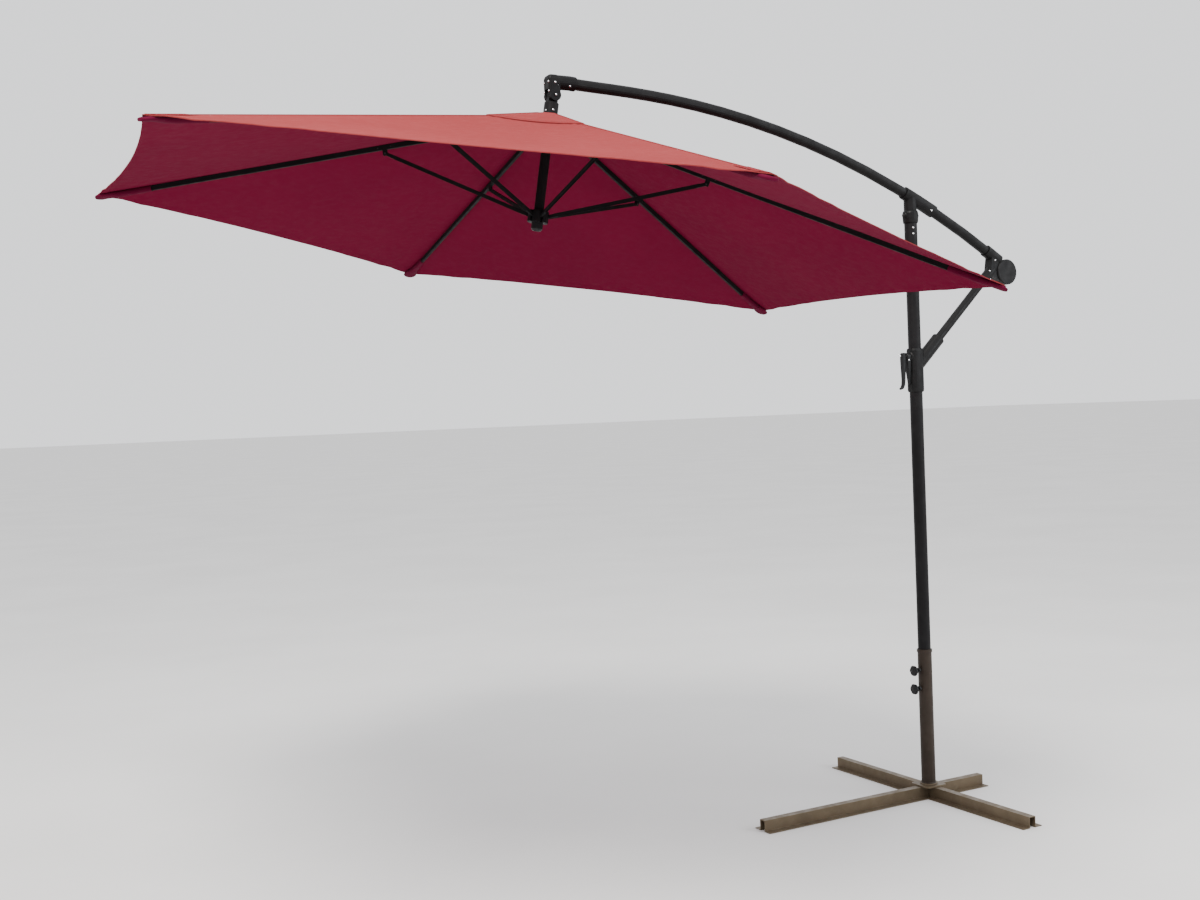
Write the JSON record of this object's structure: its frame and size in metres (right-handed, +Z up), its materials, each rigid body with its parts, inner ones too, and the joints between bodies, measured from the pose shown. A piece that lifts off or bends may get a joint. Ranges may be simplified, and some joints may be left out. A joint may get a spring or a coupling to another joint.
{
  "type": "cantilever patio umbrella with cross base",
  "caption": "Cantilever patio umbrella: red vented canopy hung from a curved arm on a cranked mast, standing in a steel cross base.",
  "frame": {"origin": "centre of the cross base on the floor, where the mast axis meets it", "axes": "+Z up the mast; the arm lies in the XZ plane and carries the canopy on the -X side"},
  "size_m": [3.4428, 2.9908, 2.6135],
  "materials": {
    "leg_front": "satin powder coat",
    "leg_rear": "satin powder coat",
    "leg_left": "satin powder coat",
    "leg_right": "satin powder coat",
    "centre_block": "satin powder coat",
    "top_plate": "satin powder coat",
    "base_tube": "satin powder coat",
    "tube_collar": "moulded",
    "nut_upper": "satin powder coat",
    "nut_lower": "satin powder coat",
    "knob_upper": "moulded",
    "knob_lower": "moulded",
    "mast_lower": "satin powder coat",
    "mast_upper": "satin powder coat",
    "mast_joiner": "zinc plated",
    "crank_housing": "satin powder coat",
    "crank_bezel": "moulded",
    "brace_tube": "satin powder coat",
    "arm_tube": "satin powder coat",
    "arm_sleeve": "satin powder coat",
    "mast_cap": "satin powder coat",
    "rear_housing": "satin powder coat",
    "rear_cover": "satin powder coat",
    "elbow": "cast, dark powder coat",
    "tilt_pin": "zinc plated",
    "pulley_axle": "zinc plated",
    "lift_cord": "braided",
    "crank_spindle": "zinc plated",
    "crank_handle": "moulded",
    "rear_pulley": "moulded",
    "elbow_pulley": "moulded",
    "tilt_socket": "cast, dark powder coat",
    "crown_hub": "cast, dark powder coat",
    "runner_hub": "cast, dark powder coat",
    "docking_tube": "satin powder coat",
    "runner_cap": "moulded",
    "rib_1": "satin powder coat",
    "canopy_panel_1": "woven polyester",
    "vent_panel_1": "woven polyester",
    "rib_2": "satin powder coat",
    "canopy_panel_2": "woven polyester",
    "vent_panel_2": "woven polyester",
    "rib_3": "satin powder coat",
    "canopy_panel_3": "woven polyester",
    "vent_panel_3": "woven polyester",
    "rib_4": "satin powder coat",
    "canopy_panel_4": "woven polyester",
    "vent_panel_4": "woven polyester",
    "rib_5": "satin powder coat",
    "canopy_panel_5": "woven polyester",
    "vent_panel_5": "woven polyester",
    "rib_6": "satin powder coat",
    "canopy_panel_6": "woven polyester",
    "vent_panel_6": "woven polyester",
    "strut_1": "satin powder coat",
    "strut_2": "satin powder coat",
    "strut_3": "satin powder coat",
    "strut_4": "satin powder coat",
    "strut_5": "satin powder coat",
    "strut_6": "satin powder coat"
  },
  "bodies": {
    "base": {"leg_front": "leg_front", "leg_rear": "leg_rear", "leg_left": "leg_left", "leg_right": "leg_right", "centre_block": "centre_block", "top_plate": "top_plate", "base_tube": "base_tube", "tube_collar": "tube_collar", "nut_upper": "nut_upper", "nut_lower": "nut_lower"},
    "knob_upper": {"knob_upper": "knob_upper"},
    "knob_lower": {"knob_lower": "knob_lower"},
    "mast": {"mast_lower": "mast_lower", "mast_upper": "mast_upper", "mast_joiner": "mast_joiner", "crank_housing": "crank_housing", "crank_bezel": "crank_bezel", "brace_tube": "brace_tube", "arm_tube": "arm_tube", "arm_sleeve": "arm_sleeve", "mast_cap": "mast_cap", "rear_housing": "rear_housing", "rear_cover": "rear_cover", "elbow": "elbow", "tilt_pin": "tilt_pin", "pulley_axle": "pulley_axle", "lift_cord": "lift_cord"},
    "crank": {"crank_spindle": "crank_spindle", "crank_handle": "crank_handle"},
    "rear_pulley": {"rear_pulley": "rear_pulley"},
    "elbow_pulley": {"elbow_pulley": "elbow_pulley"},
    "canopy_head": {"tilt_socket": "tilt_socket", "crown_hub": "crown_hub"},
    "runner": {"runner_hub": "runner_hub", "docking_tube": "docking_tube", "runner_cap": "runner_cap"},
    "rib_1": {"rib_1": "rib_1", "canopy_panel_1": "canopy_panel_1", "vent_panel_1": "vent_panel_1"},
    "rib_2": {"rib_2": "rib_2", "canopy_panel_2": "canopy_panel_2", "vent_panel_2": "vent_panel_2"},
    "rib_3": {"rib_3": "rib_3", "canopy_panel_3": "canopy_panel_3", "vent_panel_3": "vent_panel_3"},
    "rib_4": {"rib_4": "rib_4", "canopy_panel_4": "canopy_panel_4", "vent_panel_4": "vent_panel_4"},
    "rib_5": {"rib_5": "rib_5", "canopy_panel_5": "canopy_panel_5", "vent_panel_5": "vent_panel_5"},
    "rib_6": {"rib_6": "rib_6", "canopy_panel_6": "canopy_panel_6", "vent_panel_6": "vent_panel_6"},
    "strut_1": {"strut_1": "strut_1"},
    "strut_2": {"strut_2": "strut_2"},
    "strut_3": {"strut_3": "strut_3"},
    "strut_4": {"strut_4": "strut_4"},
    "strut_5": {"strut_5": "strut_5"},
    "strut_6": {"strut_6": "strut_6"}
  },
  "joints": [
    {"name": "mast_swivel", "type": "hinge", "parent": "base", "child": "mast", "pos_m": [0, 0, 0], "axis": [0, 0, 1], "continuous": true},
    {"name": "knob_upper_turn", "type": "hinge", "parent": "base", "child": "knob_upper", "pos_m": [-0.05, 0, 0.483], "axis": [-1, 0, 0], "continuous": true},
    {"name": "knob_lower_turn", "type": "hinge", "parent": "base", "child": "knob_lower", "pos_m": [-0.05, 0, 0.413], "axis": [-1, 0, 0], "continuous": true},
    {"name": "canopy_tilt", "type": "hinge", "parent": "mast", "child": "canopy_head", "pos_m": [-1.503, 0, 2.545], "axis": [0, 1, 0], "range_deg": [-8.8, 30]},
    {"name": "rib_fold_1", "type": "hinge", "parent": "canopy_head", "child": "rib_1", "pos_m": [-1.49157, -0.01348, 2.45853], "axis": [0.5734, 0.8176, -0.0517], "range_deg": [0, 68], "deforming": ["canopy_panel_1", "vent_panel_1"]},
    {"name": "rib_fold_2", "type": "hinge", "parent": "canopy_head", "child": "rib_2", "pos_m": [-1.48874, 0.01637, 2.45946], "axis": [-0.4103, 0.9059, 0.105], "range_deg": [0, 68], "deforming": ["canopy_panel_2", "vent_panel_2"]},
    {"name": "rib_fold_3", "type": "hinge", "parent": "canopy_head", "child": "rib_3", "pos_m": [-1.51289, 0.03359, 2.46399], "axis": [-0.9837, 0.0883, 0.1567], "range_deg": [0, 68], "deforming": ["canopy_panel_3", "vent_panel_3"]},
    {"name": "rib_fold_4", "type": "hinge", "parent": "canopy_head", "child": "rib_4", "pos_m": [-1.53986, 0.02096, 2.4676], "axis": [-0.5734, -0.8176, 0.0517], "range_deg": [0, 68], "deforming": ["canopy_panel_4", "vent_panel_4"]},
    {"name": "rib_fold_5", "type": "hinge", "parent": "canopy_head", "child": "rib_5", "pos_m": [-1.54268, -0.0089, 2.46667], "axis": [0.4103, -0.9059, -0.105], "range_deg": [0, 68], "deforming": ["canopy_panel_5", "vent_panel_5"]},
    {"name": "rib_fold_6", "type": "hinge", "parent": "canopy_head", "child": "rib_6", "pos_m": [-1.51854, -0.02612, 2.46214], "axis": [0.9837, -0.0883, -0.1567], "range_deg": [0, 68], "deforming": ["canopy_panel_6", "vent_panel_6"]},
    {"name": "strut_fold_1", "type": "hinge", "parent": "rib_1", "child": "strut_1", "pos_m": [-1.11163, -0.29447, 2.22893], "axis": [0.5734, 0.8176, -0.0517], "range_deg": [-136, 0]},
    {"name": "strut_fold_2", "type": "hinge", "parent": "rib_2", "child": "strut_2", "pos_m": [-1.06154, 0.23466, 2.24529], "axis": [-0.4103, 0.9059, 0.105], "range_deg": [-136, 0]},
    {"name": "strut_fold_3", "type": "hinge", "parent": "rib_3", "child": "strut_3", "pos_m": [-1.48949, 0.53988, 2.32561], "axis": [-0.9837, 0.0883, 0.1567], "range_deg": [-136, 0]},
    {"name": "strut_fold_4", "type": "hinge", "parent": "rib_4", "child": "strut_4", "pos_m": [-1.96753, 0.31597, 2.38957], "axis": [-0.5734, -0.8176, 0.0517], "range_deg": [-136, 0]},
    {"name": "strut_fold_5", "type": "hinge", "parent": "rib_5", "child": "strut_5", "pos_m": [-2.01762, -0.21316, 2.37322], "axis": [0.4103, -0.9059, -0.105], "range_deg": [-136, 0]},
    {"name": "strut_fold_6", "type": "hinge", "parent": "rib_6", "child": "strut_6", "pos_m": [-1.58967, -0.51838, 2.2929], "axis": [0.9837, -0.0883, -0.1567], "range_deg": [-136, 0]},
    {"name": "runner_slide", "type": "slide", "parent": "canopy_head", "child": "runner", "axis": [-0.1532, 0.045, -0.9872], "range_m": [0, 0.7356]},
    {"name": "crank_turn", "type": "hinge", "parent": "mast", "child": "crank", "pos_m": [-0.04, 0, 1.675], "axis": [-1, 0, 0], "range_deg": [0, 6020.9]},
    {"name": "rear_pulley_turn", "type": "hinge", "parent": "mast", "child": "rear_pulley", "pos_m": [0.467, 0, 1.999], "axis": [0, 1, 0], "range_deg": [-1359.9, 0]},
    {"name": "elbow_pulley_turn", "type": "hinge", "parent": "mast", "child": "elbow_pulley", "pos_m": [-1.491, 0, 2.578], "axis": [0, 1, 0], "range_deg": [-4014.1, 0]}
  ],
  "couplings": [
    {"joint": "rib_fold_2", "follows": "rib_fold_1", "ratio": 1},
    {"joint": "rib_fold_3", "follows": "rib_fold_1", "ratio": 1},
    {"joint": "rib_fold_4", "follows": "rib_fold_1", "ratio": 1},
    {"joint": "rib_fold_5", "follows": "rib_fold_1", "ratio": 1},
    {"joint": "rib_fold_6", "follows": "rib_fold_1", "ratio": 1},
    {"joint": "strut_fold_1", "follows": "rib_fold_1", "ratio": -2},
    {"joint": "strut_fold_2", "follows": "rib_fold_1", "ratio": -2},
    {"joint": "strut_fold_3", "follows": "rib_fold_1", "ratio": -2},
    {"joint": "strut_fold_4", "follows": "rib_fold_1", "ratio": -2},
    {"joint": "strut_fold_5", "follows": "rib_fold_1", "ratio": -2},
    {"joint": "strut_fold_6", "follows": "rib_fold_1", "ratio": -2},
    {"joint": "runner_slide", "follows": "rib_fold_1", "m_per_rad": 0.61975},
    {"joint": "crank_turn", "follows": "rib_fold_1", "ratio": 88.535},
    {"joint": "rear_pulley_turn", "follows": "rib_fold_1", "ratio": -19.992},
    {"joint": "elbow_pulley_turn", "follows": "rib_fold_1", "ratio": -59.024}
  ]
}
